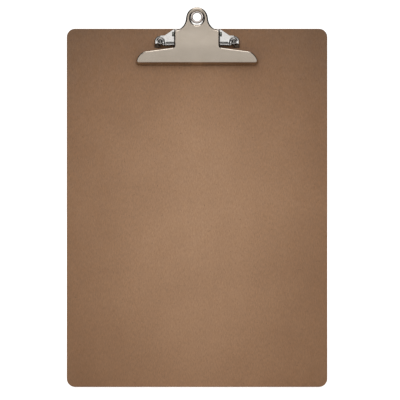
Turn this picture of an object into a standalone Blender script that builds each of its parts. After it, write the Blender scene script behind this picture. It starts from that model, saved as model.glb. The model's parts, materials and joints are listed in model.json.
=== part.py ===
"""A letter-size hardboard clipboard with a nickel-plated lever clip.

Every piece is laid out on a flat board: X runs across it, Y runs up it from its bottom edge, and
Z is the height above its writing face. The empty called upright then stands the whole thing up,
so that the writing face looks along -Y and the clip is at the top of Z.
"""

import math

import bmesh
import bpy
from mathutils import Matrix, Vector

MM = 0.001
GAP = 0.3 * MM  # between neighbouring pieces

# Board
BOARD_WIDTH = 228.6 * MM
BOARD_LENGTH = 314.3 * MM
BOARD_THICKNESS = 3.2 * MM
BOARD_CORNER = 7.3 * MM
BOARD_EASED_EDGE = 0.3 * MM

# Places on the board, as X and Y
PIVOT_Y = BOARD_LENGTH - 6.2 * MM
PIVOT_HEIGHT = 9.0 * MM
RIVET_X = 32.1 * MM
RIVET_Y = BOARD_LENGTH - 11.7 * MM
EYELET_Y = BOARD_LENGTH + 10.0 * MM

# Pressed steel
LEVER_SHEET = 0.9 * MM
BASE_SHEET = 1.0 * MM
BASE_FACE = GAP + BASE_SHEET  # front face of the base plate's flat bed

# Lever, measured from its pivot
LOBE_RADIUS = 9.4 * MM
LOBE_HALF_WIDTH = 8.1 * MM
LOBE_TOP = 21.3 * MM
LOBE_FOOT = (10.7 * MM, 4.1 * MM)  # where the lobe's sides would meet the top of the neck
OGEE_RADIUS = 10.4 * MM
NECK_HALF_WIDTH = 19.85 * MM
NECK_TOP = 2.3 * MM
NECK_BOTTOM = -11.7 * MM
SHOULDER_Y = NECK_BOTTOM - 4.0 * MM
SHOULDER_RADIUS = 11.0 * MM
JAW_HALF_WIDTH = 53.0 * MM
JAW_TAPER = 2.8 * MM  # how much narrower the jaw is at its shoulders
JAW_BOTTOM = -24.9 * MM
CORNER = 1.8 * MM
LEVER_BEND = 1.2 * MM
FLANGE_DEPTH = 3.2 * MM
LIP_DRAFT = 0.16  # how far the jaw's lip flares out, as a share of its depth
HANG_HOLE_Y = 12.4 * MM
HANG_HOLE_RADIUS = 6.0 * MM
FACE_PROFILE = (  # Y from the pivot, then height above the board
    (JAW_BOTTOM, 8.0 * MM),
    (NECK_BOTTOM, 12.6 * MM),
    (NECK_TOP, 15.4 * MM),
    (LOBE_TOP, 21.0 * MM),
)
LEVER_EAR_RADIUS = 4.0 * MM
LEVER_EAR_INSET = 0.05 * MM  # keeps the ears' faces off the flange's own

# Base plate
BED_BOTTOM = -11.0 * MM  # from the pivot
EAR_OUTSIDE = 18.2 * MM
EAR_RADIUS = 3.2 * MM
EAR_FOOT = 5.5 * MM
BED_HALF_WIDTH = EAR_OUTSIDE - 0.2 * MM
BED_TOP = BOARD_LENGTH - 1.5 * MM
BED_CORNER = 1.0 * MM
TONGUE_RADIUS = 8.3 * MM
TONGUE_FOOT = BOARD_LENGTH + 1.5 * MM
TONGUE_FILLET = 4.0 * MM
BOSS_RADIUS = 5.5 * MM
BOSS_FLAT_RADIUS = 3.4 * MM
BOSS_HEIGHT = 3.2 * MM
BOSS_DRAFT = 0.6 * MM
WING_ROOF_TILT = math.radians(15.6)
WING_TOP = Vector((20.5 * MM, BOARD_LENGTH - 0.8 * MM))
WING_KINK = Vector((28.4 * MM, RIVET_Y + BOSS_RADIUS))  # the lower end of the sloping upper edge
WING_OUTER = RIVET_X - 3.2 * MM
WING_BOTTOM = RIVET_Y - BOSS_RADIUS + 0.8 * MM
WING_HOLLOW_DROP = 0.2 * MM

# Round pieces
PIN_RADIUS = 1.5 * MM
PIN_HEAD_RADIUS = 2.1 * MM
PIN_HEAD_LENGTH = 1.5 * MM
PIN_CLEARANCE = 0.1 * MM
CUTTER_SIZE = 60 * MM  # longer than the pin and wider than a wing
RIVET_RADIUS = 1.75 * MM
RIVET_BORE = 1.15 * MM
RIVET_CLINCH_RADIUS = 2.8 * MM
RIVET_HEAD_RADIUS = 4.7 * MM
RIVET_HEAD_THICKNESS = 0.8 * MM
RIVET_HEAD_SUNK = 0.1 * MM
EYELET_BORE = 3.7 * MM
EYELET_BARREL = 4.2 * MM
EYELET_FLANGE = 5.6 * MM
EYELET_CLINCH = 5.3 * MM

# Spring
WIRE_RADIUS = 0.65 * MM
COIL_RADIUS = 3.3 * MM
COIL_PITCH = 1.45 * MM
COIL_OUTER_X = 15.2 * MM
BASE_LEG_LENGTH = 7.2 * MM
BASE_LEG_ANGLE = math.radians(-123)
LEVER_LEG_LENGTH = 8.3 * MM
LEVER_LEG_ANGLE = math.radians(110)
BRIDGE_BEND = 1.5 * MM
TURNS = 4

ARC_STEP = math.radians(12)
COIL_STEP = math.radians(15)
ROUND_STEPS = 40


def clear_scene():
    for thing in list(bpy.data.objects):
        bpy.data.objects.remove(thing)


def new_collection(name):
    made = bpy.data.collections.new(name)
    bpy.context.scene.collection.children.link(made)
    return made


def make_material(name, colour, roughness, metallic):
    made = bpy.data.materials.new(name)
    made.use_nodes = True
    shader = made.node_tree.nodes["Principled BSDF"]
    shader.inputs["Base Color"].default_value = (*colour, 1.0)
    shader.inputs["Roughness"].default_value = roughness
    shader.inputs["Metallic"].default_value = metallic
    return made


def place(name, data, material, location=(0, 0, 0)):
    """An object of the clipboard, laid out on the flat board."""
    made = bpy.data.objects.new(name, data)
    parts.objects.link(made)
    made.parent = upright
    made.location = location
    data.materials.append(material)
    return made


def place_helper(name, mesh, location=(0, 0, 0)):
    """An object that only takes part in Booleans."""
    made = bpy.data.objects.new(name, mesh)
    helpers.objects.link(made)
    made.parent = upright
    made.location = location
    made.hide_render = True
    made.display_type = "WIRE"
    return made


def combine(target, other, operation):
    boolean = target.modifiers.new(other.name, "BOOLEAN")
    boolean.operation = operation
    boolean.solver = "EXACT"
    boolean.object = other


def arc_points(centre, start, end):
    """Points of the arc about centre from start to end, the short way round."""
    first = start - centre
    last = end - centre
    turn = math.atan2(first.x * last.y - first.y * last.x, first.dot(last))
    steps = max(2, round(abs(turn) / ARC_STEP))
    return [centre + Matrix.Rotation(turn * k / steps, 2) @ first for k in range(steps + 1)]


def rounded_outline(corners):
    """The closed outline through (x, y, radius) corners, with an arc at each rounded one."""
    points = []
    for index, (x, y, radius) in enumerate(corners):
        here = Vector((x, y))
        to_last = (Vector(corners[index - 1][:2]) - here).normalized()
        to_next = (Vector(corners[(index + 1) % len(corners)][:2]) - here).normalized()
        if radius == 0:
            points.append(here)
            continue
        half_angle = to_last.angle(to_next) / 2
        reach = radius / math.tan(half_angle)
        centre = here + (to_last + to_next).normalized() * radius / math.sin(half_angle)
        points += arc_points(centre, here + to_last * reach, here + to_next * reach)
    return points


def mirrored(corners):
    """These corners, which run down the right-hand side, and the same ones back up the left."""
    return corners + [(-x, y, radius) for x, y, radius in reversed(corners)]


def circle(centre_x, centre_y, radius):
    angles = (2 * math.pi * k / ROUND_STEPS for k in range(ROUND_STEPS))
    return [Vector((centre_x + radius * math.cos(a), centre_y + radius * math.sin(a))) for a in angles]


def filled_curve(name, outline, holes, half_thickness):
    """The mesh of a filled outline, extruded to both sides of Z = 0."""
    curve = bpy.data.curves.new(name, "CURVE")
    curve.dimensions = "2D"
    curve.fill_mode = "BOTH"
    curve.extrude = half_thickness
    for points in (outline, *holes):
        spline = curve.splines.new("POLY")
        spline.points.add(len(points) - 1)
        for target, point in zip(spline.points, points):
            target.co = (point.x, point.y, 0, 1)
        spline.use_cyclic_u = True
    drawn = bpy.data.objects.new(name, curve)
    helpers.objects.link(drawn)
    graph = bpy.context.evaluated_depsgraph_get()
    mesh = bpy.data.meshes.new_from_object(drawn.evaluated_get(graph))
    bpy.data.objects.remove(drawn)
    return mesh


def plate(name, outline, back, front, holes=()):
    """The mesh of a flat plate between two heights."""
    mesh = filled_curve(name, outline, holes, (front - back) / 2)
    work = bmesh.new()
    work.from_mesh(mesh)
    bmesh.ops.remove_doubles(work, verts=work.verts, dist=0.001 * MM)
    bmesh.ops.translate(work, verts=work.verts, vec=(0, 0, (front + back) / 2))
    work.to_mesh(mesh)
    work.free()
    return mesh


def rod(name, radius, length, location, across=False):
    """A cylinder helper along Z, or along X if it runs across the board."""
    work = bmesh.new()
    bmesh.ops.create_cone(
        work, cap_ends=True, segments=ROUND_STEPS, radius1=radius, radius2=radius, depth=length
    )
    if across:
        bmesh.ops.rotate(work, verts=work.verts, matrix=Matrix.Rotation(math.pi / 2, 3, "Y"))
    mesh = bpy.data.meshes.new(name)
    work.to_mesh(mesh)
    work.free()
    return place_helper(name, mesh, location)


def turned(name, profile, closed=False):
    """A mesh holding the half section of a turned piece, as (radius, height) points."""
    mesh = bpy.data.meshes.new(name)
    edges = [(k, k + 1) for k in range(len(profile) - 1)]
    if closed:
        edges.append((len(profile) - 1, 0))
    mesh.from_pydata([(radius, 0, height) for radius, height in profile], edges, [])
    return mesh


def spin(piece):
    """Turns a half section round Z into a solid."""
    screw = piece.modifiers.new("turned", "SCREW")
    screw.steps = ROUND_STEPS
    screw.render_steps = ROUND_STEPS
    screw.use_merge_vertices = True
    screw.merge_threshold = 0.01 * MM
    screw.use_smooth_shade = True


def build_board():
    """The hardboard, with a hole and a sunk seat on the back for each rivet."""
    half = BOARD_WIDTH / 2
    outline = rounded_outline(
        [
            (half, BOARD_LENGTH, BOARD_CORNER),
            (half, 0, BOARD_CORNER),
            (-half, 0, BOARD_CORNER),
            (-half, BOARD_LENGTH, BOARD_CORNER),
        ]
    )
    board = place("board", plate("board", outline, -BOARD_THICKNESS, 0), hardboard)
    bevel = board.modifiers.new("eased edge", "BEVEL")
    bevel.width = BOARD_EASED_EDGE
    bevel.segments = 2
    bevel.limit_method = "ANGLE"
    bevel.angle_limit = math.radians(60)
    seat_depth = RIVET_HEAD_SUNK + RIVET_HEAD_THICKNESS + GAP
    for x in (-RIVET_X, RIVET_X):
        hole = rod("rivet_hole", RIVET_RADIUS + GAP, 4 * BOARD_THICKNESS, (x, RIVET_Y, 0))
        seat_at = (x, RIVET_Y, -BOARD_THICKNESS)
        seat = rod("rivet_seat", RIVET_HEAD_RADIUS + GAP, 2 * seat_depth, seat_at)
        combine(board, hole, "DIFFERENCE")
        combine(board, seat, "DIFFERENCE")


def face_height(y):
    """Height of the lever's front face above the board, at this distance up from the pivot."""
    for (y0, height0), (y1, height1) in zip(FACE_PROFILE, FACE_PROFILE[1:]):
        if y <= y1:
            break
    return height0 + (height1 - height0) * (y - y0) / (y1 - y0)


def lever_corners():
    """The lever's right-hand outline, from the top of its lobe down to its jaw."""
    return [
        (LOBE_HALF_WIDTH, LOBE_TOP, LOBE_RADIUS),
        (*LOBE_FOOT, OGEE_RADIUS),
        (NECK_HALF_WIDTH, NECK_TOP, CORNER),
        (NECK_HALF_WIDTH, NECK_BOTTOM, CORNER),
        (JAW_HALF_WIDTH - JAW_TAPER, SHOULDER_Y, SHOULDER_RADIUS),
        (JAW_HALF_WIDTH, JAW_BOTTOM, CORNER),
    ]


def moved_outline(points, distance):
    """The closed outline moved inwards, or outwards by a negative distance for each point."""
    moved = []
    for index, here in enumerate(points):
        last_way = (here - points[index - 1]).normalized()
        next_way = (points[(index + 1) % len(points)] - here).normalized()
        inwards = Vector((last_way.y + next_way.y, -last_way.x - next_way.x)).normalized()
        stretch = 1 / math.sqrt((1 + last_way.dot(next_way)) / 2)
        moved.append(here + inwards * distance(here) * stretch)
    return moved


def lip_share(point):
    """0 along the lobe, neck and shoulders, rising to 1 at the bottom of the jaw."""
    share = (SHOULDER_Y - point.y) / (SHOULDER_Y - JAW_BOTTOM)
    return min(max(share, 0), 1)


def rim_depth(point):
    """How far behind the face the turned-back flange ends: at the jaw it reaches the board."""
    to_board = face_height(point.y) - GAP
    return FLANGE_DEPTH + (to_board - FLANGE_DEPTH) * lip_share(point)


def lever_skin():
    """The open outer surface of the lever: its face, the bend round it and its flange."""
    outline = rounded_outline(mirrored(lever_corners()))
    work = bmesh.new()

    def ring(points, depth):
        return [work.verts.new((point.x, point.y, -depth(point))) for point in points]

    flared = moved_outline(outline, lambda p: -LIP_DRAFT * rim_depth(p) * lip_share(p))
    rims = [face_height(p.y) - rim_depth(p) for p in outline]
    rings = [[work.verts.new((q.x, q.y, z - face_height(q.y))) for q, z in zip(flared, rims)]]
    for degrees in (0, 30, 60, 90):
        angle = math.radians(degrees)
        inset = LEVER_BEND * (1 - math.cos(angle))
        depth = LEVER_BEND * (1 - math.sin(angle))
        rings.append(ring(moved_outline(outline, lambda p: inset), lambda p: depth))
    for lower, upper in zip(rings, rings[1:]):
        for index in range(len(lower)):
            work.faces.new((lower[index - 1], lower[index], upper[index], upper[index - 1]))
    inner = [vertex.co.xy for vertex in rings[-1]]
    hang_hole = circle(0, HANG_HOLE_Y, HANG_HOLE_RADIUS)
    work.from_mesh(filled_curve("face", inner, [hang_hole], 0))
    bmesh.ops.remove_doubles(work, verts=work.verts, dist=0.002 * MM)
    for y, _ in FACE_PROFILE[1:-1]:
        everything = work.verts[:] + work.edges[:] + work.faces[:]
        bmesh.ops.bisect_plane(work, geom=everything, plane_co=(0, y, 0), plane_no=(0, 1, 0))
    for vertex in work.verts:
        vertex.co.z += face_height(vertex.co.y) - PIVOT_HEIGHT
    bmesh.ops.recalc_face_normals(work, faces=work.faces)
    if sum(face.normal.z * face.calc_area() for face in work.faces) < 0:
        bmesh.ops.reverse_faces(work, faces=work.faces)
    mesh = bpy.data.meshes.new("clamp_lever")
    work.to_mesh(mesh)
    work.free()
    return mesh


def upright_plate(name, corners, inside, outside, location):
    """A helper plate that stands on edge: its (y, z) outline lies between two X positions."""
    mesh = plate(name, rounded_outline(corners), inside, outside)
    turn_up = Matrix(((0, 0, 1), (1, 0, 0), (0, 1, 0)))
    mesh.transform(turn_up.to_4x4())
    return place_helper(name, mesh, location)


def build_lever():
    """The one-piece lever: thumb lobe, neck and jaw, with an ear on each side for the pin."""
    at_pivot = (0, PIVOT_Y, PIVOT_HEIGHT)
    lever = place("clamp_lever", lever_skin(), nickel, at_pivot)
    sheet = lever.modifiers.new("sheet", "SOLIDIFY")
    sheet.thickness = LEVER_SHEET
    sheet.offset = -1
    sheet.solidify_mode = "NON_MANIFOLD"
    sheet.nonmanifold_thickness_mode = "EVEN"
    outside = NECK_HALF_WIDTH - LEVER_EAR_INSET
    inside = NECK_HALF_WIDTH - LEVER_SHEET + LEVER_EAR_INSET
    root = face_height(0) - PIVOT_HEIGHT - 1.5 * LEVER_BEND
    ear = [
        (-LEVER_EAR_RADIUS, -LEVER_EAR_RADIUS, LEVER_EAR_RADIUS * 0.98),
        (LEVER_EAR_RADIUS, -LEVER_EAR_RADIUS, LEVER_EAR_RADIUS * 0.98),
        (LEVER_EAR_RADIUS, root - 2.4 * MM, 1.0 * MM),
        (-0.5 * MM, root, 0),
        (-8.5 * MM, root - 1.6 * MM, 0),
    ]
    for name, x0, x1 in (("right", inside, outside), ("left", -outside, -inside)):
        combine(lever, upright_plate("lever_ear_" + name, ear, x0, x1, at_pivot), "UNION")
    bore = rod("lever_bore", PIN_RADIUS + PIN_CLEARANCE, CUTTER_SIZE, at_pivot, across=True)
    combine(lever, bore, "DIFFERENCE")


def above_roof(side):
    """The space over a wing's roof, as a mesh with its origin on the wing's sloping upper edge."""
    heading = math.atan2(WING_KINK.y - WING_TOP.y, WING_KINK.x - WING_TOP.x)
    tilt = Matrix.Rotation(heading, 3, "Z") @ Matrix.Rotation(-WING_ROOF_TILT, 3, "X")
    work = bmesh.new()
    bmesh.ops.create_cube(work, size=CUTTER_SIZE)
    bmesh.ops.translate(work, verts=work.verts, vec=(0, 0, CUTTER_SIZE / 2))
    bmesh.ops.rotate(work, verts=work.verts, matrix=tilt)
    if side < 0:
        bmesh.ops.scale(work, verts=work.verts, vec=(-1, 1, 1))
        bmesh.ops.reverse_faces(work, faces=work.faces)
    mesh = bpy.data.meshes.new("above_roof")
    work.to_mesh(mesh)
    work.free()
    return mesh


def wing_block(name, side, inset, height):
    """One wing's wedge, under a roof that falls to this height at the sloping upper edge."""
    inner = EAR_OUTSIDE - BASE_SHEET / 2 + inset
    outer = WING_OUTER - inset
    bottom = WING_BOTTOM + inset
    top = WING_TOP.y - inset
    shoulder = WING_KINK.y - inset
    corners = [(inner, top), (WING_TOP.x, top), (WING_KINK.x, shoulder)]
    corners += [(outer, shoulder), (outer, bottom), (inner, bottom)]
    outline = [Vector((side * x, y)) for x, y in corners]
    wedge = place_helper(name, plate(name, outline, GAP, 2 * BOSS_HEIGHT))
    at_edge = (side * WING_KINK.x, WING_KINK.y, height)
    combine(wedge, place_helper(name + "_roof", above_roof(side), at_edge), "DIFFERENCE")
    return wedge


def boss_profile():
    """Half section of the raised ring round a rivet, pressed up from below."""
    hole = RIVET_RADIUS + GAP
    under = BOSS_HEIGHT - BASE_SHEET
    shoulder = BOSS_RADIUS - BOSS_DRAFT
    return [
        (hole, BOSS_HEIGHT),
        (BOSS_FLAT_RADIUS, BOSS_HEIGHT),
        (shoulder, under),
        (BOSS_RADIUS, GAP),
        (BOSS_RADIUS - BASE_SHEET, GAP),
        (shoulder - BASE_SHEET, under - 0.5 * MM),
        (BOSS_FLAT_RADIUS - 0.3 * MM, under),
        (hole, under),
    ]


def build_base():
    """The pressed base plate: flat bed and tongue, two ears for the pin and two riveted wings."""
    corners = [
        (TONGUE_RADIUS, EYELET_Y + TONGUE_RADIUS, TONGUE_RADIUS * 0.99),
        (TONGUE_RADIUS, TONGUE_FOOT, TONGUE_FILLET),
        (BED_HALF_WIDTH, BED_TOP, BED_CORNER),
        (BED_HALF_WIDTH, PIVOT_Y + BED_BOTTOM, BED_CORNER),
    ]
    eyelet_hole = circle(0, EYELET_Y, EYELET_BARREL + GAP)
    bed = plate("base_plate", rounded_outline(mirrored(corners)), GAP, BASE_FACE, [eyelet_hole])
    base = place("base_plate", bed, nickel)
    at_pivot = (0, PIVOT_Y, PIVOT_HEIGHT)
    foot = GAP + BASE_SHEET / 2 - PIVOT_HEIGHT
    ear = [
        (-EAR_RADIUS, EAR_RADIUS, EAR_RADIUS * 0.98),
        (-EAR_FOOT, foot, 0),
        (EAR_FOOT, foot, 0),
        (EAR_RADIUS, EAR_RADIUS, EAR_RADIUS * 0.98),
    ]
    inside = EAR_OUTSIDE - BASE_SHEET
    for side, label in ((1, "right"), (-1, "left")):
        x0, x1 = sorted((side * inside, side * EAR_OUTSIDE))
        combine(base, upright_plate("base_ear_" + label, ear, x0, x1, at_pivot), "UNION")
        wing = wing_block("wing_" + label, side, 0, BASE_FACE)
        hollow = wing_block("hollow_" + label, side, BASE_SHEET, GAP)
        hollow.location.z = -WING_HOLLOW_DROP
        combine(wing, hollow, "DIFFERENCE")
        combine(base, wing, "UNION")
        at_rivet = (side * RIVET_X, RIVET_Y, 0)
        boss = place_helper("boss_" + label, turned("boss", boss_profile(), closed=True), at_rivet)
        boss.rotation_euler.z = side * math.pi / ROUND_STEPS
        spin(boss)
        combine(base, boss, "UNION")
    bore = rod("base_bore", PIN_RADIUS + PIN_CLEARANCE, CUTTER_SIZE, at_pivot, across=True)
    combine(base, bore, "DIFFERENCE")


def build_rivets():
    """Tubular rivets: a flat head sunk into the back and a rolled end on each wing's boss."""
    back = -BOARD_THICKNESS + RIVET_HEAD_SUNK
    head_face = back + RIVET_HEAD_THICKNESS
    seat = BOSS_HEIGHT + GAP
    profile = [
        (0, 0.5 * MM),
        (RIVET_BORE, 0.5 * MM),
        (RIVET_BORE, seat + 0.4 * MM),
        (RIVET_RADIUS - 0.1 * MM, seat + 0.8 * MM),
        (RIVET_CLINCH_RADIUS - 0.3 * MM, seat + 0.6 * MM),
        (RIVET_CLINCH_RADIUS, seat),
        (RIVET_RADIUS, seat),
        (RIVET_RADIUS, head_face),
        (RIVET_HEAD_RADIUS, head_face),
        (RIVET_HEAD_RADIUS - 0.3 * MM, back),
        (0, back),
    ]
    for name, x in (("rivet_left", -RIVET_X), ("rivet_right", RIVET_X)):
        spin(place(name, turned(name, profile), nickel, (x, RIVET_Y, 0)))


def build_eyelet():
    """The eyelet that lines the hanging hole in the base plate's tongue."""
    front = BASE_FACE + GAP
    profile = [
        (EYELET_BORE, front + 0.4 * MM),
        (EYELET_BARREL, front + 0.9 * MM),
        (EYELET_FLANGE - 0.5 * MM, front + 0.7 * MM),
        (EYELET_FLANGE, front),
        (EYELET_BARREL, front),
        (EYELET_BARREL, 0),
        (EYELET_CLINCH, 0),
        (EYELET_CLINCH - 0.3 * MM, -0.6 * MM),
        (EYELET_BARREL, -0.7 * MM),
        (EYELET_BORE, -0.3 * MM),
    ]
    spin(place("hang_eyelet", turned("hang_eyelet", profile, closed=True), nickel, (0, EYELET_Y, 0)))


def build_pin():
    """The pivot pin, headed at both ends outside the lever's ears."""
    head = NECK_HALF_WIDTH + GAP
    end = head + PIN_HEAD_LENGTH
    half = [(0, end), (PIN_HEAD_RADIUS * 0.7, end - 0.3 * MM), (PIN_HEAD_RADIUS, end - 0.9 * MM)]
    half += [(PIN_HEAD_RADIUS, head), (PIN_RADIUS, head)]
    profile = half + [(radius, -along) for radius, along in reversed(half)]
    pin = place("pivot_pin", turned("pivot_pin", profile), steel, (0, PIVOT_Y, PIVOT_HEIGHT))
    spin(pin)
    pin.rotation_euler.y = math.pi / 2


def coil_point(x, angle):
    return Vector((x, COIL_RADIUS * math.cos(angle), COIL_RADIUS * math.sin(angle)))


def spring_half():
    """The wire from the left leg's tip, round the left coil, to the middle of the bridge."""
    x = -COIL_OUTER_X
    start = coil_point(x, BASE_LEG_ANGLE)
    leg_way = Vector((0, -math.sin(BASE_LEG_ANGLE), math.cos(BASE_LEG_ANGLE)))
    points = [start + leg_way * BASE_LEG_LENGTH]
    turn = 2 * math.pi * TURNS + BASE_LEG_ANGLE - LEVER_LEG_ANGLE
    steps = round(turn / COIL_STEP)
    for k in range(steps + 1):
        share = k / steps
        along = x + COIL_PITCH * share * turn / (2 * math.pi)
        points.append(coil_point(along, BASE_LEG_ANGLE - turn * share))
    leave = points[-1]
    leg_way = Vector((0, math.sin(LEVER_LEG_ANGLE), -math.cos(LEVER_LEG_ANGLE)))
    corner = leave + leg_way * LEVER_LEG_LENGTH
    for degrees in (0, 30, 60, 90):
        angle = math.radians(degrees)
        aside = Vector((BRIDGE_BEND * (1 - math.cos(angle)), 0, 0))
        points.append(corner - leg_way * BRIDGE_BEND * (1 - math.sin(angle)) + aside)
    return points


def build_spring():
    """The double torsion spring: two coils on the pin, legs on the bed, bridge under the lever."""
    left = spring_half()
    points = left + [Vector((-point.x, point.y, point.z)) for point in reversed(left)]
    curve = bpy.data.curves.new("torsion_spring", "CURVE")
    curve.dimensions = "3D"
    curve.bevel_depth = WIRE_RADIUS
    curve.bevel_resolution = 2
    curve.use_fill_caps = True
    spline = curve.splines.new("POLY")
    spline.points.add(len(points) - 1)
    for target, point in zip(spline.points, points):
        target.co = (*point, 1)
    place("torsion_spring", curve, steel, (0, PIVOT_Y, PIVOT_HEIGHT))


clear_scene()
parts = new_collection("clipboard")
helpers = new_collection("cutters")
upright = bpy.data.objects.new("upright", None)
parts.objects.link(upright)
upright.location.y = -BOARD_THICKNESS / 2
upright.rotation_euler.x = math.pi / 2

hardboard = make_material("hardboard", (0.31, 0.19, 0.12), 0.75, 0.0)
nickel = make_material("nickel_plate", (0.62, 0.59, 0.55), 0.28, 1.0)
steel = make_material("bright_steel", (0.55, 0.55, 0.54), 0.32, 1.0)

build_board()
build_base()
build_lever()
build_rivets()
build_eyelet()
build_pin()
build_spring()
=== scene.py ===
"""The looks of a hardboard clipboard with a nickel-plated lever clip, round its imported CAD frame.

Pieces are shaped in a flat layout, as on a bench: X runs across the board, Y runs up it from its
bottom edge and Z is the height above its writing face. stand_up() then puts them in the frame.
"""

import json
import math

import bmesh
import bpy
from mathutils import Matrix, Vector


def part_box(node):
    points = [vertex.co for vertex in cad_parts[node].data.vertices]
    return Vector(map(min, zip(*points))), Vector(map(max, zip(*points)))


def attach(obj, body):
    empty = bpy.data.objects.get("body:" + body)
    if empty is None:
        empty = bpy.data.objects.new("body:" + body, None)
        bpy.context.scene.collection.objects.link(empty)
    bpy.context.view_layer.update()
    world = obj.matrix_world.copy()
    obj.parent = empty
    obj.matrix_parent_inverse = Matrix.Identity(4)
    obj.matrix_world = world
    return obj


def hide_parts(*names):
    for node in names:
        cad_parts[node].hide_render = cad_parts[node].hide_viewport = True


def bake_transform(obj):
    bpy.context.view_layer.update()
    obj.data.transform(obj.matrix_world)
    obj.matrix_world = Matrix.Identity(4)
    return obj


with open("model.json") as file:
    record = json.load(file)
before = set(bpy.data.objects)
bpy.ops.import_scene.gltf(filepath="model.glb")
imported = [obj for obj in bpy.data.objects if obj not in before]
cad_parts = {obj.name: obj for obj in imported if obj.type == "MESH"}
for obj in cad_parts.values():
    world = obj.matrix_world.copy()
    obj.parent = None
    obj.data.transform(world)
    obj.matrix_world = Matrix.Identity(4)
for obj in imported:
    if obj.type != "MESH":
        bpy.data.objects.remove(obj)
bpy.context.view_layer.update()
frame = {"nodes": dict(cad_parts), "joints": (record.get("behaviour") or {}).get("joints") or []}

MM = 0.001
GAP = 0.3 * MM
FIXED = "board_and_base"
MOVING = "lever"

# Places read from the frame
board_low, board_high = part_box("board")
lever_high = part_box("clamp_lever")[1]
pin_low, pin_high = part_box("pivot_pin")
eyelet_low, eyelet_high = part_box("hang_eyelet")
base_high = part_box("base_plate")[1]
rivet_low, rivet_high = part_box("rivet_right")
FRONT = board_low.y
BOARD_LENGTH = board_high.z
BOARD_HALF_WIDTH = board_high.x
PIVOT = Vector(frame["joints"][0]["pos_m"])
PIVOT_Y = PIVOT.z
PIVOT_HEIGHT = FRONT - PIVOT.y
EYELET_Y = (eyelet_low.z + eyelet_high.z) / 2
RIVET_X = (rivet_low.x + rivet_high.x) / 2
RIVET_Y = (rivet_low.z + rivet_high.z) / 2

# Lever, measured from its pivot
LOBE_TOP = lever_high.z - PIVOT_Y
LOBE_RADIUS = 9.3 * MM
LOBE_HALF_WIDTH = 8.1 * MM
LOBE_FOOT = (10.7 * MM, 4.1 * MM)  # where the lobe's sides would meet the top of the neck
OGEE_RADIUS = 10.4 * MM
NECK_HALF_WIDTH = pin_high.x - 1.8 * MM
NECK_TOP = 2.3 * MM
NECK_BOTTOM = -11.7 * MM
SHOULDER_Y = NECK_BOTTOM - 4.0 * MM
SHOULDER_RADIUS = 10.3 * MM
JAW_HALF_WIDTH = lever_high.x - 0.3 * MM
JAW_TAPER = 2.8 * MM  # how much narrower the jaw is at its shoulders
JAW_BOTTOM = -24.6 * MM
CORNER = 1.8 * MM
LEVER_SHEET = 0.9 * MM
LOBE_BEND = 1.45 * MM
JAW_BEND = 0.7 * MM
TIGHTEST_BEND = 0.1 * MM
FLANGE_DEPTH = 3.2 * MM
LIP_DRAFT = 0.20  # how far the jaw's lip flares out, as a share of its depth
HANG_HOLE_Y = 12.4 * MM
HANG_HOLE_RADIUS = 5.6 * MM
HOLE_BEND = 1.6 * MM
HOLE_COLLAR = 2.1 * MM
LEVER_EAR_RADIUS = 4.0 * MM
FACE_PROFILE = (  # Y from the pivot, then height above the board
    (JAW_BOTTOM, 8.5 * MM),
    (NECK_BOTTOM, 12.6 * MM),
    (NECK_TOP, 15.4 * MM),
    (LOBE_TOP, 21.0 * MM),
)
SOFT_BEND = 4.0 * MM  # half the length over which the face turns from one slope to the next

# Base plate
BASE_SHEET = 1.0 * MM
EASED_EDGE = 0.2 * MM
BED_BOTTOM = -11.0 * MM
EAR_OUTSIDE = 18.2 * MM
EAR_RADIUS = 2.6 * MM  # small enough to clear the lever's flange when the jaw is open
EAR_FOOT = 5.5 * MM
TONGUE_RADIUS = base_high.z - EYELET_Y
PANEL_SLOPE = 0.232
BOSS_SLOPE = 0.37
BOSS_RADIUS = base_high.x - RIVET_X
BOSS_HEIGHT = 3.2 * MM
WING_TOP = Vector((20.5 * MM, BOARD_LENGTH - 0.8 * MM))
WING_KINK = Vector((28.4 * MM, RIVET_Y + BOSS_RADIUS))  # the lower end of the sloping upper edge
WING_BOTTOM = RIVET_Y - BOSS_RADIUS + 0.2 * MM
BEAD_HEIGHT = 0.35 * MM
BEAD_UP = 2.6 * MM  # from the wing's bottom
GROOVE_DEPTH = 0.45 * MM
GROOVE_UP = 4.1 * MM

# Round pieces
PIN_RADIUS = 1.5 * MM
PIN_HEAD_RADIUS = (pin_high.z - pin_low.z) / 2
RIVET_RADIUS = 1.75 * MM
RIVET_HEAD_RADIUS = (rivet_high.x - rivet_low.x) / 2
RIVET_BACK = FRONT - rivet_high.y
RIVET_HEAD_THICKNESS = 0.8 * MM
RIVET_ROLL = 0.45 * MM
RIVET_BORE_DEPTH = 2.6 * MM
RIVET_DIMPLE_RADIUS = 1.2 * MM
EYELET_BORE = 3.7 * MM
EYELET_BARREL = 4.2 * MM
EYELET_FLANGE = (eyelet_high.x - eyelet_low.x) / 2
EYELET_CLINCH = 5.2 * MM

# Spring
WIRE_RADIUS = 0.65 * MM
COIL_RADIUS = 3.3 * MM
COIL_PITCH = 1.45 * MM
COIL_OUTER_X = 15.2 * MM
BASE_LEG_LENGTH = 7.2 * MM
BASE_LEG_ANGLE = math.radians(-123)
LEVER_LEG_LENGTH = 8.3 * MM
LEVER_LEG_ANGLE = math.radians(110)
FULL_TURNS = 4

# Camera
CAMERA_DISTANCE = 0.9
CAMERA_SIDE = 2.6 * MM
CAMERA_RISE = 6.9 * MM
BOARD_SHARE_OF_FRAME = 0.6515

# Colours
HARDBOARD_DARK = (0.322, 0.186, 0.104)
HARDBOARD_LIGHT = (0.372, 0.220, 0.126)
HARDBOARD_WARM = (0.356, 0.203, 0.112)
HARDBOARD_SPECK = (0.130, 0.072, 0.040)
HARDBOARD_PALE = (0.520, 0.370, 0.250)
# Tint of the painted shade towards the board's borders
BORDER_SHADE_TINT = (0.92, 0.83, 0.73)

# Stage
FLOOR_GLOW = 0.7
BACKDROP_GLOW = 1.25
CARD_DISTANCE = 0.35

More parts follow.
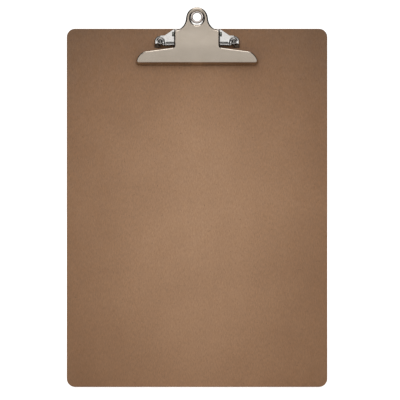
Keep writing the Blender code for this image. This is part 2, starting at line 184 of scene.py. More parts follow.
# Fineness of the meshes
ARC_STEP = math.radians(5)
ROUND_STEPS = 96
LEVER_CELL = 1.2 * MM
WING_CELL = 0.4 * MM
SAME_PLACE = 0.001 * MM  # vertices no further apart than this become one


# ---------------------------------------------------------------- outlines and meshes


def smooth_step(low, high, value):
    """0 below low, 1 above high, and a soft rise between them."""
    share = min(max((value - low) / (high - low), 0), 1)
    return share * share * (3 - 2 * share)


def arc_points(centre, start, end):
    """Points of the arc about centre from start to end, the short way round."""
    first = start - centre
    last = end - centre
    turn = math.atan2(first.x * last.y - first.y * last.x, first.dot(last))
    steps = max(3, round(abs(turn) / ARC_STEP))
    return [centre + Matrix.Rotation(turn * k / steps, 2) @ first for k in range(steps + 1)]


def rounded_outline(corners):
    """The closed outline through (x, y, radius) corners, with an arc at each rounded one."""
    points = []
    for index, (x, y, radius) in enumerate(corners):
        here = Vector((x, y))
        to_last = (Vector(corners[index - 1][:2]) - here).normalized()
        to_next = (Vector(corners[(index + 1) % len(corners)][:2]) - here).normalized()
        if radius == 0:
            points.append(here)
            continue
        half_angle = to_last.angle(to_next) / 2
        reach = radius / math.tan(half_angle)
        centre = here + (to_last + to_next).normalized() * radius / math.sin(half_angle)
        points += arc_points(centre, here + to_last * reach, here + to_next * reach)
    return points


def mirrored(corners):
    """These corners, which run down the right-hand side, and the same ones back up the left."""
    return corners + [(-x, y, radius) for x, y, radius in reversed(corners)]


def circle(centre_x, centre_y, radius):
    """A clockwise circle."""
    angles = (-2 * math.pi * k / ROUND_STEPS for k in range(ROUND_STEPS))
    return [Vector((centre_x + radius * math.cos(a), centre_y + radius * math.sin(a))) for a in angles]


def moved_outline(points, distance):
    """The closed, clockwise outline moved inwards by distance(point)."""
    moved = []
    for index, here in enumerate(points):
        last_way = (here - points[index - 1]).normalized()
        next_way = (points[(index + 1) % len(points)] - here).normalized()
        inwards = Vector((last_way.y + next_way.y, -last_way.x - next_way.x)).normalized()
        stretch = 1 / math.sqrt((1 + last_way.dot(next_way)) / 2)
        moved.append(here + inwards * distance(here) * stretch)
    return moved


def mesh_of(work, name):
    """The finished mesh of a bmesh, which is freed."""
    mesh = bpy.data.meshes.new(name)
    work.to_mesh(mesh)
    work.free()
    return mesh


def baked(name, mesh, *modifiers):
    """The mesh after these (type, settings) modifiers."""
    holder = bpy.data.objects.new(name, mesh)
    bpy.context.scene.collection.objects.link(holder)
    for kind, settings in modifiers:
        modifier = holder.modifiers.new(kind, kind)
        for key, value in settings.items():
            setattr(modifier, key, value)
    bpy.context.view_layer.update()
    graph = bpy.context.evaluated_depsgraph_get()
    result = bpy.data.meshes.new_from_object(holder.evaluated_get(graph))
    bpy.data.objects.remove(holder)
    return result


def together(name, meshes):
    """One mesh that holds all of these closed shells."""
    work = bmesh.new()
    for mesh in meshes:
        work.from_mesh(mesh)
    return mesh_of(work, name)


def filled(name, outline, holes=(), half_thickness=0):
    """The mesh of a filled outline, extruded to both sides of Z = 0."""
    curve = bpy.data.curves.new(name, "CURVE")
    curve.dimensions = "2D"
    curve.fill_mode = "BOTH"
    curve.extrude = half_thickness
    for points in (outline, *holes):
        spline = curve.splines.new("POLY")
        spline.points.add(len(points) - 1)
        for target, point in zip(spline.points, points):
            target.co = (point.x, point.y, 0, 1)
        spline.use_cyclic_u = True
    return baked(name, curve)


def plate(name, outline, back, front, holes):
    """A flat plate between two heights, its edges eased."""
    work = bmesh.new()
    work.from_mesh(filled(name, outline, holes, (front - back) / 2))
    bmesh.ops.remove_doubles(work, verts=work.verts, dist=SAME_PLACE)
    bmesh.ops.translate(work, verts=work.verts, vec=(0, 0, (front + back) / 2))
    edge = {"width": EASED_EDGE, "segments": 2, "limit_method": "ANGLE", "angle_limit": math.radians(50)}
    return baked(name, mesh_of(work, name), ("BEVEL", edge))


def skin_rings(work, rings):
    """Quads between each closed ring of vertices and the next."""
    for lower, upper in zip(rings, rings[1:]):
        for index in range(len(lower)):
            work.faces.new((lower[index - 1], lower[index], upper[index], upper[index - 1]))


def flat_face(name, outline, holes=()):
    """A filled outline with no needless edges inside it."""
    work = bmesh.new()
    work.from_mesh(filled(name, outline, holes))
    bmesh.ops.remove_doubles(work, verts=work.verts, dist=SAME_PLACE)
    bmesh.ops.dissolve_limit(work, angle_limit=0.01, verts=work.verts, edges=work.edges)
    return mesh_of(work, name)


def cut_grid(work, size):
    """Cuts the mesh into a grid of cells, fine enough to take a curved height."""
    for axis in (0, 1):
        normal = Vector((axis == 0, axis == 1, 0))
        places = [vertex.co[axis] for vertex in work.verts]
        low = min(places)
        for step in range(1, math.ceil((max(places) - low) / size)):
            everything = work.verts[:] + work.edges[:] + work.faces[:]
            middle = normal * (low + step * size)
            bmesh.ops.bisect_plane(work, geom=everything, plane_co=middle, plane_no=normal, dist=SAME_PLACE)


def turned(name, profile):
    """The solid turned round Z from an open (radius, height) profile, or a closed one for a ring."""
    work = bmesh.new()
    points = [work.verts.new((radius, 0, height)) for radius, height in profile]
    for first, second in zip(points, points[1:]):
        work.edges.new((first, second))
    if profile[0][0] > 0:
        work.edges.new((points[-1], points[0]))
    bmesh.ops.spin(
        work, geom=work.verts[:] + work.edges[:], cent=(0, 0, 0), axis=(0, 0, 1),
        angle=2 * math.pi, steps=ROUND_STEPS, use_merge=True,
    )
    bmesh.ops.remove_doubles(work, verts=work.verts, dist=SAME_PLACE)
    bmesh.ops.recalc_face_normals(work, faces=work.faces)
    return mesh_of(work, name)


def arc_profile(centre, radius, start, end, steps=8):
    """(radius, height) points of an arc, from one angle in degrees to another."""
    angles = [math.radians(start + (end - start) * k / steps) for k in range(steps + 1)]
    return [(centre[0] + radius * math.cos(a), centre[1] + radius * math.sin(a)) for a in angles]


def stand_up(mesh):
    """Turns a mesh from the flat layout into the frame."""
    mesh.transform(Matrix.Translation((0, FRONT, 0)) @ Matrix.Rotation(math.pi / 2, 4, "X"))


def add_piece(name, mesh, material, node, body, sharp=35):
    """A finished piece, which stands for its CAD node and rides on its body."""
    mesh.materials.clear()
    mesh.materials.append(material)
    for polygon in mesh.polygons:
        polygon.use_smooth = True
        polygon.material_index = 0
    mesh.set_sharp_from_angle(angle=math.radians(sharp))
    piece = bpy.data.objects.new(name, mesh)
    bpy.context.scene.collection.objects.link(piece)
    shading = piece.modifiers.new("even_shading", "WEIGHTED_NORMAL")
    shading.keep_sharp = True
    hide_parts(node)
    if body:
        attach(piece, body)
    return piece


# ---------------------------------------------------------------- pieces


def face_height(y):
    """Height of the lever's face above the board, its slopes run softly into one another."""
    slopes = [(h1 - h0) / (y1 - y0) for (y0, h0), (y1, h1) in zip(FACE_PROFILE, FACE_PROFILE[1:])]
    height = FACE_PROFILE[0][1] + slopes[0] * (y - JAW_BOTTOM)
    for (crease, _), below, above in zip(FACE_PROFILE[1:], slopes, slopes[1:]):
        past = min(max(y - crease + SOFT_BEND, 0), 2 * SOFT_BEND)
        height += (above - below) * (past * past / (4 * SOFT_BEND) + max(y - crease - SOFT_BEND, 0))
    return height


def lip_share(point):
    """0 along the lobe, neck and shoulders, rising to 1 at the bottom of the jaw."""
    return min(max((SHOULDER_Y - point.y) / (SHOULDER_Y - JAW_BOTTOM), 0), 1)


def rim_depth(point):
    """How far behind the face the turned-back flange ends: at the jaw it reaches the board."""
    to_board = face_height(point.y) - GAP
    return FLANGE_DEPTH + (to_board - FLANGE_DEPTH) * lip_share(point)


def lever_bend(point):
    """Radius of the bend between face and flange, which tightens towards the jaw."""
    return LOBE_BEND + (JAW_BEND - LOBE_BEND) * smooth_step(-NECK_BOTTOM, -JAW_BOTTOM, -point.y)


def bend_rings(work, outline, bend, behind, inwards=1):
    """Rings of vertices up round a bend of radius bend(point), to a face this far behind the front."""
    rings = []
    for degrees in range(0, 91, 15):
        inset = inwards * (1 - math.cos(math.radians(degrees)))
        drop = 1 - math.sin(math.radians(degrees))
        points = moved_outline(outline, lambda p: inset * bend(p))
        heights = [-behind - drop * bend(p) for p in outline]
        rings.append([work.verts.new((q.x, q.y, z)) for q, z in zip(points, heights)])
    return rings


def lever_skin(work, outline, behind):
    """One side of the lever's sheet: flange, bend, face, and the funnel of its hanging hole."""
    outline = moved_outline(outline, lambda p: behind)
    hole = circle(0, HANG_HOLE_Y, HANG_HOLE_RADIUS + behind)
    flared = moved_outline(outline, lambda p: -LIP_DRAFT * rim_depth(p) * lip_share(p))
    rims = [face_height(p.y) - rim_depth(p) for p in outline]
    rim = [work.verts.new((q.x, q.y, z - face_height(q.y))) for q, z in zip(flared, rims)]
    collar = [work.verts.new((p.x, p.y, -HOLE_COLLAR)) for p in hole]
    outer = [rim] + bend_rings(work, outline, lambda p: max(lever_bend(p) - behind, TIGHTEST_BEND), behind)
    inner = [collar] + bend_rings(work, hole, lambda p: HOLE_BEND - behind, behind, inwards=-1)
    skin_rings(work, outer)
    skin_rings(work, inner)
    edges = [[vertex.co.xy for vertex in rings[-1]] for rings in (outer, inner)]
    face = flat_face("face", edges[0], [edges[1]])
    face.transform(Matrix.Translation((0, 0, -behind)))
    work.from_mesh(face)
    return rim, collar


def lever_pressing():
    """The bent sheet of the lever, closed along its rim and at the foot of the funnel."""
    corners = [
        (LOBE_HALF_WIDTH, LOBE_TOP, LOBE_RADIUS),
        (*LOBE_FOOT, OGEE_RADIUS),
        (NECK_HALF_WIDTH, NECK_TOP, CORNER),
        (NECK_HALF_WIDTH, NECK_BOTTOM, CORNER),
        (JAW_HALF_WIDTH - JAW_TAPER, SHOULDER_Y, SHOULDER_RADIUS),
        (JAW_HALF_WIDTH, JAW_BOTTOM, CORNER),
    ]
    outline = rounded_outline(mirrored(corners))
    work = bmesh.new()
    front = lever_skin(work, outline, 0)
    back = lever_skin(work, outline, LEVER_SHEET)
    for ring, other in zip(front, back):
        skin_rings(work, [ring, other])
    bmesh.ops.remove_doubles(work, verts=work.verts, dist=0.002 * MM)
    cut_grid(work, LEVER_CELL)
    for vertex in work.verts:
        vertex.co.z += face_height(vertex.co.y)
        vertex.co.y += PIVOT_Y
    bmesh.ops.recalc_face_normals(work, faces=work.faces)
    return mesh_of(work, "lever_pressing")


def ears(name, corners, inside, outside):
    """A pair of plates that stand on edge at the pivot, each round the pin's hole."""
    bore = circle(0, 0, PIN_RADIUS + 0.1 * MM)
    on_edge = Matrix(((0, 0, 1), (1, 0, 0), (0, 1, 0))).to_4x4()
    pair = []
    for back, front in ((inside, outside), (-outside, -inside)):
        mesh = plate(name, rounded_outline(corners), back, front, [bore])
        mesh.transform(Matrix.Translation((0, PIVOT_Y, PIVOT_HEIGHT)) @ on_edge)
        pair.append(mesh)
    return pair


def build_lever():
    """The lever: its pressed sheet and the two ears that the pin runs through."""
    radius = LEVER_EAR_RADIUS
    root = face_height(0) - PIVOT_HEIGHT - 1.5 * LOBE_BEND
    ear = [
        (-radius, -radius, radius * 0.98),
        (radius, -radius, radius * 0.98),
        (radius, root - 2.4 * MM, 1.0 * MM),
        (-0.5 * MM, root, 0),
        (-8.5 * MM, root - 1.6 * MM, 0),
    ]
    inset = 0.05 * MM
    pair = ears("lever_ear", ear, NECK_HALF_WIDTH - LEVER_SHEET + inset, NECK_HALF_WIDTH - inset)
    lever = together("lever", [lever_pressing()] + pair)
    stand_up(lever)
    add_piece("lever_plate", lever, satin_nickel, "clamp_lever", MOVING)


def round_over(distance, reach):
    """0 at the edge, then a quarter of an ellipse up to 1 at this reach."""
    share = min(max(distance / reach, 0), 1)
    return math.sqrt(1 - (1 - share) ** 2)


def wing_height(x, y):
    """Height of a wing's pressed surface above its foot, for the right-hand wing."""
    at_boss = smooth_step(WING_KINK.x - 0.6 * MM, WING_KINK.x + 0.9 * MM, x)
    edge_y = WING_KINK.y + max(WING_KINK.x - x, 0) * (WING_TOP.y - WING_KINK.y) / (WING_KINK.x - WING_TOP.x)
    ridge = 1.7 * MM + 2.0 * MM * smooth_step(RIVET_X - 4 * MM, RIVET_X + 2 * MM, x)
    from_foot = y - WING_BOTTOM
    fall = PANEL_SLOPE + (BOSS_SLOPE - PANEL_SLOPE) * at_boss
    height = BASE_SHEET + fall * max(edge_y - max(y, WING_BOTTOM + ridge), 0)
    bead = BEAD_HEIGHT * math.exp(-(((from_foot - BEAD_UP) / (0.75 * MM)) ** 2))
    groove = GROOVE_DEPTH * math.exp(-(((from_foot - GROOVE_UP) / (0.42 * MM)) ** 2))
    height += (bead - groove) * (1 - smooth_step(RIVET_X - 5 * MM, RIVET_X - 3 * MM, x))
    from_rivet = math.hypot(x - RIVET_X, y - RIVET_Y)
    on_seat = 1 - smooth_step(2.7 * MM, 3.6 * MM, from_rivet)
    height += (BOSS_HEIGHT - height) * on_seat
    # Inside the rivet's bore the sheet drops out of sight, below the bore's own floor.
    in_bore = 1 - smooth_step(RIVET_RADIUS, RIVET_RADIUS + 0.35 * MM, from_rivet)
    height += (0.3 * MM - height) * in_bore
    height *= min(max(from_foot / ridge, 0), 1)
    if x > RIVET_X:
        reached = from_rivet if y > RIVET_Y else x - RIVET_X
        height *= round_over(BOSS_RADIUS - reached, 1.3 * MM)
    return height


def wing(side):
    """One wing: a pressed panel that falls to its sloping upper edge, with a boss for the rivet."""
    corners = [
        (EAR_OUTSIDE - 0.5 * BASE_SHEET, WING_TOP.y, 0),
        (WING_TOP.x, WING_TOP.y, 1.5 * MM),
        (WING_KINK.x, WING_KINK.y, 1.2 * MM),
        (RIVET_X + BOSS_RADIUS, WING_KINK.y, BOSS_RADIUS * 0.95),
        (RIVET_X + BOSS_RADIUS, WING_BOTTOM, 1.4 * MM),
        (EAR_OUTSIDE - 0.5 * BASE_SHEET, WING_BOTTOM, 0),
    ]
    work = bmesh.new()
    work.from_mesh(flat_face("wing", rounded_outline(corners)))
    cut_grid(work, WING_CELL)
    raised = bmesh.ops.extrude_face_region(work, geom=work.faces[:])["geom"]
    for vertex in raised:
        if isinstance(vertex, bmesh.types.BMVert):
            vertex.co.z = max(wing_height(vertex.co.x, vertex.co.y), 0.02 * MM)
    for vertex in work.verts:
        vertex.co.z += GAP
        vertex.co.x *= side
    bmesh.ops.recalc_face_normals(work, faces=work.faces)
    return mesh_of(work, "wing")


def build_base():
    """The base plate: bed, tongue, wings and the two ears that hold the pin."""
    half_bed = EAR_OUTSIDE - 0.2 * MM
    corners = [
        (TONGUE_RADIUS, EYELET_Y + TONGUE_RADIUS, TONGUE_RADIUS * 0.99),
        (TONGUE_RADIUS, BOARD_LENGTH + 1.5 * MM, 4.0 * MM),
        (half_bed, BOARD_LENGTH - 1.5 * MM, 1.0 * MM),
        (half_bed, PIVOT_Y + BED_BOTTOM, 1.0 * MM),
    ]
    hole = circle(0, EYELET_Y, EYELET_BARREL + 0.1 * MM)
    bed = plate("bed", rounded_outline(mirrored(corners)), GAP, GAP + BASE_SHEET, [hole])
    foot = GAP + BASE_SHEET / 2 - PIVOT_HEIGHT
    ear = [
        (-EAR_RADIUS, EAR_RADIUS, EAR_RADIUS * 0.98),
        (-EAR_FOOT, foot, 0),
        (EAR_FOOT, foot, 0),
        (EAR_RADIUS, EAR_RADIUS, EAR_RADIUS * 0.98),
    ]
    pair = ears("base_ear", ear, EAR_OUTSIDE - BASE_SHEET, EAR_OUTSIDE)
    base = together("base", [bed, wing(1), wing(-1)] + pair)
    stand_up(base)
    add_piece("base_pressing", base, bright_nickel, "base_plate", FIXED)


def build_rivets():
    """Tubular rivets: a flat head sunk in the back, and an end rolled over each wing's boss."""
    seat = GAP + BOSS_HEIGHT
    floor = seat - RIVET_BORE_DEPTH
    roll_centre = RIVET_RADIUS + 0.35 * MM
    bore = roll_centre - RIVET_ROLL
    head_face = RIVET_BACK + RIVET_HEAD_THICKNESS
    profile = [(0, floor), (0.45 * MM, floor), (bore, floor + 0.7 * MM)]
    profile += arc_profile((roll_centre, seat + RIVET_ROLL * 0.5), RIVET_ROLL, 180, -40, 12)
    profile += [(RIVET_RADIUS, seat - 0.1 * MM), (RIVET_RADIUS, head_face)]
    profile += [(RIVET_HEAD_RADIUS - 0.1 * MM, head_face)]
    edge = (RIVET_HEAD_RADIUS - 0.3 * MM, RIVET_BACK + 0.3 * MM)
    profile += arc_profile(edge, 0.3 * MM, 0, -90, 4)
    # A shallow dimple in the middle of the head
    profile += [(RIVET_RADIUS, RIVET_BACK), (RIVET_DIMPLE_RADIUS, RIVET_BACK + 0.25 * MM)]
    profile += [(0, RIVET_BACK + 0.3 * MM)]
    for name, x in (("rivet_left", -RIVET_X), ("rivet_right", RIVET_X)):
        mesh = turned(name, profile)
        mesh.transform(Matrix.Translation((x, RIVET_Y, 0)))
        stand_up(mesh)
        add_piece(name + "_turned", mesh, rivet_nickel, name, FIXED, sharp=50)


def build_eyelet():
    """The eyelet: a domed flange at the front, a barrel and a rolled end behind the tongue."""
    face = GAP + BASE_SHEET
    edge = 0.45 * MM
    crest = face + 1.1 * MM - edge
    dome = [(EYELET_BORE, crest - 1.0 * MM)]
    dome += arc_profile((EYELET_BORE + edge, crest), edge, 180, 100, 6)
    dome += arc_profile((EYELET_FLANGE - edge, crest), edge, 80, -30, 8)
    dome += [(EYELET_FLANGE - edge, face)]
    roll = (EYELET_CLINCH - EYELET_BORE) / 2
    back = arc_profile((EYELET_BORE + roll, GAP), roll, 0, -180, 12)
    profile = dome + [(EYELET_BARREL, face), (EYELET_BARREL, GAP)] + back
    mesh = turned("hang_eyelet", profile)
    mesh.transform(Matrix.Translation((0, EYELET_Y, 0)))
    stand_up(mesh)
    add_piece("eyelet_ring", mesh, eyelet_nickel, "hang_eyelet", FIXED, sharp=60)


def build_pin():
    """The pivot pin with a domed head outside each of the lever's ears."""
    end = pin_high.x
    head = end - 1.4 * MM
    corner = 0.5 * MM
    half = [(0, end)]
    half += [(0.55 * PIN_HEAD_RADIUS, end - 0.08 * MM)]
    half += arc_profile((PIN_HEAD_RADIUS - corner, end - 0.15 * MM - corner), corner, 80, 0, 5)
    half += [(PIN_HEAD_RADIUS, head), (PIN_RADIUS, head)]
    profile = half + [(radius, -along) for radius, along in reversed(half)]
    mesh = turned("pivot_pin", profile)
    mesh.transform(Matrix.Rotation(math.pi / 2, 4, "Y"))
    mesh.transform(Matrix.Translation((0, PIVOT_Y, PIVOT_HEIGHT)))
    stand_up(mesh)
    add_piece("pin_turned", mesh, pin_steel, "pivot_pin", MOVING, sharp=50)


def coil_point(x, angle):
    """A point of a coil's centre line, from the pivot."""
    return Vector((x, COIL_RADIUS * math.cos(angle), COIL_RADIUS * math.sin(angle)))


def spring_half():
    """The wire from the left leg's tip, round the left coil, to the middle of the bridge."""
    start = coil_point(-COIL_OUTER_X, BASE_LEG_ANGLE)
    leg_way = Vector((0, -math.sin(BASE_LEG_ANGLE), math.cos(BASE_LEG_ANGLE)))
    points = [start + leg_way * BASE_LEG_LENGTH * k / 4 for k in (4, 3, 2, 1)]
    turn = 2 * math.pi * FULL_TURNS + BASE_LEG_ANGLE - LEVER_LEG_ANGLE
    steps = round(turn / math.radians(9))
    for k in range(steps + 1):
        share = k / steps
        along = -COIL_OUTER_X + COIL_PITCH * share * turn / (2 * math.pi)
        points.append(coil_point(along, BASE_LEG_ANGLE - turn * share))
    leg_way = Vector((0, math.sin(LEVER_LEG_ANGLE), -math.cos(LEVER_LEG_ANGLE)))
    leave = points[-1]
    corner = leave + leg_way * LEVER_LEG_LENGTH
    bend = 1.6 * MM
    points += [leave + leg_way * (LEVER_LEG_LENGTH - bend) * k / 4 for k in (1, 2, 3)]
    for degrees in range(0, 91, 15):
        angle = math.radians(degrees)
        side = Vector((bend * (1 - math.cos(angle)), 0, 0))
        points.append(corner - leg_way * bend * (1 - math.sin(angle)) + side)
    return points


def build_spring():
    """The double torsion spring: two coils round the pivot, a leg at each outer end and a bridge between
    them.
    """
    left = spring_half()
    points = left + [Vector((-point.x, point.y, point.z)) for point in reversed(left)]
    curve = bpy.data.curves.new("torsion_spring", "CURVE")
    curve.dimensions = "3D"
    curve.bevel_depth = WIRE_RADIUS
    curve.bevel_resolution = 4
    curve.use_fill_caps = True
    spline = curve.splines.new("POLY")
    spline.points.add(len(points) - 1)
    for target, point in zip(spline.points, points):
        target.co = (*point, 1)
    work = bmesh.new()
    work.from_mesh(baked("torsion_spring", curve))
    bmesh.ops.remove_doubles(work, verts=work.verts, dist=SAME_PLACE)
    mesh = mesh_of(work, "torsion_spring")
    mesh.transform(Matrix.Translation((0, PIVOT_Y, PIVOT_HEIGHT)))
    stand_up(mesh)
    piece = add_piece("spring_wire", mesh, spring_steel, "torsion_spring", None, sharp=50)
    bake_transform(piece)


# ---------------------------------------------------------------- materials


class Nodes:
    """A short way to write a node tree."""

    def __init__(self, tree):
        self.tree = tree

    def add(self, kind, inputs=None, **settings):
        node = self.tree.nodes.new(kind)
        for key, value in settings.items():
            setattr(node, key, value)
        for key, value in (inputs or {}).items():
            if isinstance(value, bpy.types.NodeSocket):
                self.tree.links.new(value, node.inputs[key])
            else:
                node.inputs[key].default_value = value
        return node

    def maths(self, operation, first, second=0.0):
        return self.add("ShaderNodeMath", {0: first, 1: second}, operation=operation).outputs[0]

    def noise(self, where, scale, detail=3.0, roughness=0.55):
        inputs = {"Vector": where, "Scale": scale, "Detail": detail, "Roughness": roughness}
        return self.add("ShaderNodeTexNoise", inputs).outputs["Fac"]

    def stretched(self, where, turn, stretch):
        """Coordinates for a noise drawn out along the least stretched axis.

        The turn comes after the stretch, so it only keeps two such noises from matching.
        """
        inputs = {"Vector": where, "Rotation": (0, turn, 0), "Scale": stretch}
        return self.add("ShaderNodeMapping", inputs).outputs[0]

    def remap(self, value, low, high, to_low, to_high):
        inputs = {0: value, 1: low, 2: high, 3: to_low, 4: to_high}
        return self.add("ShaderNodeMapRange", inputs, clamp=True).outputs[0]

    def mix(self, share, first, second, blend_type="MIX"):
        node = self.add("ShaderNodeMix", data_type="RGBA", blend_type=blend_type)
        for key, value in ((0, share), (6, first), (7, second)):
            if isinstance(value, bpy.types.NodeSocket):
                self.tree.links.new(value, node.inputs[key])
            else:
                node.inputs[key].default_value = value if key == 0 else (*value, 1)
        return node.outputs[2]


def new_material(name):
    """A new material, with its nodes, its shader and the object's own coordinates."""
    material = bpy.data.materials.new(name)
    material.use_nodes = True
    nodes = Nodes(material.node_tree)
    shader = material.node_tree.nodes["Principled BSDF"]
    where = nodes.add("ShaderNodeTexCoord").outputs["Object"]
    return material, nodes, shader, where


def bump(nodes, shader, height, distance, strength):
    """Raises the shader's surface by this height."""
    inputs = {"Height": height, "Distance": distance, "Strength": strength}
    made = nodes.add("ShaderNodeBump", inputs)
    nodes.tree.links.new(made.outputs[0], shader.inputs["Normal"])


def hardboard_material():
    """Tempered hardboard: fine pressed fibres, specks and soft clouds, with painted shade that darkens and
    reddens it towards its borders.
    """
    material, nodes, shader, where = new_material("hardboard")
    link = nodes.tree.links.new
    clouds = nodes.noise(where, 16, 4)
    mottle = nodes.noise(where, 260, 5, 0.65)
    fibres_a = nodes.noise(nodes.stretched(where, 0.5, (1900, 1900, 420)), 1, 3, 0.6)
    fibres_b = nodes.noise(nodes.stretched(where, -0.9, (1700, 1700, 380)), 1, 3, 0.6)
    grit = nodes.noise(where, 2600, 2, 0.5)
    specks = nodes.remap(nodes.noise(where, 820, 2, 0.4), 0.69, 0.76, 0, 1)
    pale = nodes.remap(nodes.noise(nodes.stretched(where, 1.3, (1200, 1200, 300)), 1, 2), 0.68, 0.78, 0, 1)
    colour = nodes.mix(nodes.remap(clouds, 0.35, 0.65, 0, 1), HARDBOARD_DARK, HARDBOARD_LIGHT)
    colour = nodes.mix(nodes.remap(mottle, 0.3, 0.7, 0, 0.55), colour, HARDBOARD_WARM)
    fibre = nodes.maths("MULTIPLY", nodes.maths("ADD", fibres_a, fibres_b), 0.5)
    tone = nodes.remap(fibre, 0.34, 0.66, 0.80, 1.18)
    tone = nodes.maths("MULTIPLY", tone, nodes.remap(grit, 0.3, 0.7, 0.93, 1.07))
    colour = nodes.mix(nodes.maths("MULTIPLY", specks, 0.5), colour, HARDBOARD_SPECK)
    colour = nodes.mix(nodes.maths("MULTIPLY", pale, 0.22), colour, HARDBOARD_PALE)
    # Painted shade: the board is drawn darker and redder towards its borders and corners, most of all at
    # the top, where the light falls off.
    parts = nodes.add("ShaderNodeSeparateXYZ", {0: where})
    across = nodes.maths("DIVIDE", nodes.maths("ABSOLUTE", parts.outputs[0]), BOARD_HALF_WIDTH)
    from_middle = nodes.maths("SUBTRACT", parts.outputs[2], BOARD_LENGTH / 2)
    along = nodes.maths("DIVIDE", nodes.maths("ABSOLUTE", from_middle), BOARD_LENGTH / 2)
    sides = nodes.maths("MULTIPLY", nodes.maths("POWER", across, 1.4), 0.27)
    ends = nodes.remap(from_middle, -0.1 * BOARD_LENGTH, 0.1 * BOARD_LENGTH, 0.12, 0.36)
    ends = nodes.maths("MULTIPLY", nodes.maths("POWER", along, 2.0), ends)
    inwards = nodes.maths("SUBTRACT", 1.0, sides)
    border_shade = nodes.maths("MULTIPLY", inwards, nodes.maths("SUBTRACT", 1.0, ends))
    tone = nodes.maths("MULTIPLY", tone, border_shade)
    colour = nodes.mix(nodes.remap(border_shade, 0.7, 1.0, 1, 0), colour, BORDER_SHADE_TINT, "MULTIPLY")
    # Painted shade: the sawn edges, which turn away from the light, are drawn darker than the pressed
    # faces.
    normal = nodes.add("ShaderNodeSeparateXYZ", {0: nodes.add("ShaderNodeNewGeometry").outputs["Normal"]})
    face = nodes.maths("ABSOLUTE", normal.outputs[1])
    tone = nodes.maths("MULTIPLY", tone, nodes.remap(face, 0.3, 0.9, 0.55, 1.0))
    colour = nodes.add("ShaderNodeVectorMath", {0: colour, 1: tone}, operation="MULTIPLY").outputs[0]
    link(colour, shader.inputs["Base Color"])
    link(nodes.remap(mottle, 0.3, 0.7, 0.5, 0.72), shader.inputs["Roughness"])
    shader.inputs["Specular IOR Level"].default_value = 0.3
    height = nodes.maths("ADD", fibre, nodes.maths("MULTIPLY", grit, 0.5))
    bump(nodes, shader, height, 0.00012, 0.5)
    return material


def metal_material(name, tint, roughness, brush=0.0, edge_tone=1.0):
    """Plated steel: a tint with faint stains, uneven gloss, fine scratches and a hint of waviness.

    An edge_tone below 1 darkens the sides of the lever, where its surface turns away from the front.
    It stands in for the dark surroundings that such a polished edge reflects.
    """
    material, nodes, shader, where = new_material(name)
    link = nodes.tree.links.new
    shader.inputs["Metallic"].default_value = 1.0
    stains = nodes.remap(nodes.noise(where, 110, 5, 0.6), 0.35, 0.7, 0, 1)
    dull = tuple(c * k for c, k in zip(tint, (0.80, 0.77, 0.72)))
    colour = nodes.mix(nodes.maths("MULTIPLY", stains, 0.32), tint, dull)
    scratches = nodes.noise(nodes.stretched(where, 0.15, (900, 900, 7000)), 1, 4, 0.7)
    colour = nodes.mix(nodes.remap(scratches, 0.55, 0.8, 0, 0.18 + brush), colour, dull)
    normal = nodes.add("ShaderNodeSeparateXYZ", {0: nodes.add("ShaderNodeTexCoord").outputs["Normal"]})
    place = nodes.add("ShaderNodeSeparateXYZ", {0: where})
    at_edge = nodes.remap(place.outputs[2], PIVOT_Y + SHOULDER_Y, PIVOT_Y, 0.2, 1.0)
    off_middle = nodes.maths("ABSOLUTE", place.outputs[0])
    aside = nodes.remap(off_middle, 3.5 * MM, 5.5 * MM, 0.0, 1.0 - edge_tone)
    at_edge = nodes.maths("MULTIPLY", at_edge, aside)
    turned_away = nodes.remap(nodes.maths("ABSOLUTE", normal.outputs[1]), 0.82, 0.96, 1.0, 0.0)
    tone = nodes.maths("SUBTRACT", 1.0, nodes.maths("MULTIPLY", at_edge, turned_away))
    colour = nodes.add("ShaderNodeVectorMath", {0: colour, 1: tone}, operation="MULTIPLY").outputs[0]
    link(colour, shader.inputs["Base Color"])
    gloss = nodes.maths("ADD", nodes.remap(scratches, 0.3, 0.7, -0.04, 0.05), roughness)
    gloss = nodes.maths("ADD", gloss, nodes.remap(stains, 0, 1, 0, 0.06))
    link(gloss, shader.inputs["Roughness"])
    waves = nodes.noise(where, 240, 2)
    height = nodes.maths("ADD", nodes.maths("MULTIPLY", scratches, 0.05 + brush), waves)
    bump(nodes, shader, height, 0.00004, 0.35)
    return material


satin_nickel = metal_material("satin_nickel", (0.60, 0.522, 0.443), 0.2, brush=0.08, edge_tone=0.04)
bright_nickel = metal_material("bright_nickel", (0.47, 0.46, 0.45), 0.15)
eyelet_nickel = metal_material("eyelet_nickel", (0.40, 0.36, 0.34), 0.25)
rivet_nickel = metal_material("rivet_nickel", (0.30, 0.29, 0.28), 0.22)
pin_steel = metal_material("pin_steel", (0.17, 0.18, 0.16), 0.3)
spring_steel = metal_material("spring_steel", (0.42, 0.42, 0.42), 0.30, brush=0.05)


# ---------------------------------------------------------------- stage


def floor_material():
    """Pale matt paper, which the camera sees a little brighter than its light alone makes it."""
    material, nodes, shader, where = new_material("pale_floor")
    paper = nodes.remap(nodes.noise(where, 30, 4), 0.3, 0.7, 0.0, 1.0)
    colour = nodes.mix(paper, (0.86, 0.86, 0.85), (0.88, 0.88, 0.87))
    nodes.tree.links.new(colour, shader.inputs["Base Color"])
    shader.inputs["Roughness"].default_value = 0.9
    seen = nodes.add("ShaderNodeLightPath").outputs["Is Camera Ray"]
    shader.inputs["Emission Color"].default_value = (1, 1, 1, 1)
    nodes.tree.links.new(nodes.maths("MULTIPLY", seen, FLOOR_GLOW), shader.inputs["Emission Strength"])
    return material


def build_floor():
    """A plain pale floor just under the board's bottom edge."""
    work = bmesh.new()
    bmesh.ops.create_grid(work, x_segments=1, y_segments=1, size=12)
    mesh = mesh_of(work, "floor")
    mesh.materials.append(floor_material())
    floor = bpy.data.objects.new("floor", mesh)
    floor.location = (0, 0, board_low.z - 0.5 * MM)
    bpy.context.scene.collection.objects.link(floor)


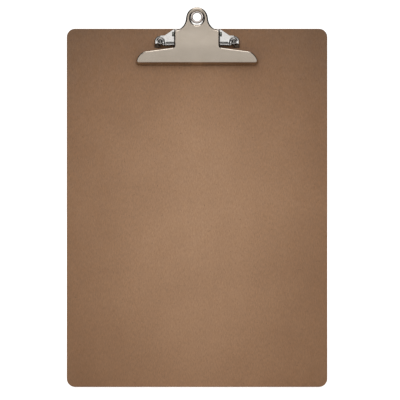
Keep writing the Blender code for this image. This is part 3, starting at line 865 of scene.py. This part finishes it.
def build_cards():
    """Two black cards beside the object, which darken the metal's sides. The camera misses them."""
    for side in (-1, 1):
        work = bmesh.new()
        bmesh.ops.create_grid(work, x_segments=1, y_segments=1, size=1.0)
        bmesh.ops.scale(work, verts=work.verts, vec=(0.36, 1.1, 1))
        mesh = mesh_of(work, "card")
        mesh.materials.append(card_material())
        card = bpy.data.objects.new("card_left" if side < 0 else "card_right", mesh)
        card.rotation_euler.y = math.pi / 2
        card.location = (side * CARD_DISTANCE, -0.25, 0.36)
        card.visible_camera = False
        card.visible_diffuse = False
        card.visible_shadow = False
        bpy.context.scene.collection.objects.link(card)


def card_material():
    """Black felt, with next to no shine."""
    material, nodes, shader, where = new_material("black_card")
    felt = nodes.mix(nodes.noise(where, 90), (0.008, 0.008, 0.008), (0.02, 0.02, 0.02))
    nodes.tree.links.new(felt, shader.inputs["Base Color"])
    shader.inputs["Roughness"].default_value = 1.0
    shader.inputs["Specular IOR Level"].default_value = 0.0
    return material


def build_world():
    """A white studio, dark to both sides and overhead. The camera sees it plain white."""
    world = bpy.data.worlds.new("studio")
    bpy.context.scene.world = world
    world.use_nodes = True
    nodes = Nodes(world.node_tree)
    sky = world.node_tree.nodes["Background"]
    way = nodes.add("ShaderNodeSeparateXYZ", {0: nodes.add("ShaderNodeTexCoord").outputs["Generated"]})
    up = way.outputs[2]
    aside = nodes.maths("ADD", nodes.maths("ABSOLUTE", way.outputs[0]), nodes.maths("MULTIPLY", up, 0.35))
    side = nodes.remap(aside, 0.62, 0.9, 1.0, 0.08)
    above = nodes.remap(up, 0.05, 0.5, 1.25, 1.65)
    above = nodes.maths("MULTIPLY", above, nodes.remap(up, 0.74, 0.88, 1.0, 0.2))
    strength = nodes.maths("MULTIPLY", side, above)
    seen = nodes.add("ShaderNodeLightPath").outputs["Is Camera Ray"]
    strength = nodes.add("ShaderNodeMix", {0: seen, 2: strength, 3: BACKDROP_GLOW}).outputs[0]
    world.node_tree.links.new(strength, sky.inputs["Strength"])
    sky.inputs["Color"].default_value = (1.0, 0.995, 0.985, 1)


def build_light():
    """One wide, soft light in front of the board and above it, aimed at its middle."""
    data = bpy.data.lights.new("front", "AREA")
    data.shape = "RECTANGLE"
    data.size = 3.0
    data.size_y = 0.9
    data.energy = 15
    light = bpy.data.objects.new("front", data)
    light.location = (0, -2.2, 0.95)
    aim = Vector((0, FRONT, BOARD_LENGTH / 2)) - light.location
    light.rotation_euler = aim.to_track_quat("-Z", "Y").to_euler()
    bpy.context.scene.collection.objects.link(light)


def build_camera():
    """A camera square to the board, a little above its middle."""
    data = bpy.data.cameras.new("camera")
    data.sensor_width = 36
    seen_width = 2 * BOARD_HALF_WIDTH / BOARD_SHARE_OF_FRAME
    data.lens = data.sensor_width * CAMERA_DISTANCE / seen_width
    camera = bpy.data.objects.new("camera", data)
    camera.location = (CAMERA_SIDE, FRONT - CAMERA_DISTANCE, BOARD_LENGTH / 2 + CAMERA_RISE)
    camera.rotation_euler = (math.pi / 2, 0, 0)
    bpy.context.scene.collection.objects.link(camera)
    bpy.context.scene.camera = camera


board = frame["nodes"]["board"]
board.data.materials.clear()
board.data.materials.append(hardboard_material())

build_base()
build_lever()
build_rivets()
build_eyelet()
build_pin()
build_spring()
build_floor()
build_cards()
build_world()
build_light()
build_camera()
bpy.context.scene.view_settings.view_transform = "Standard"
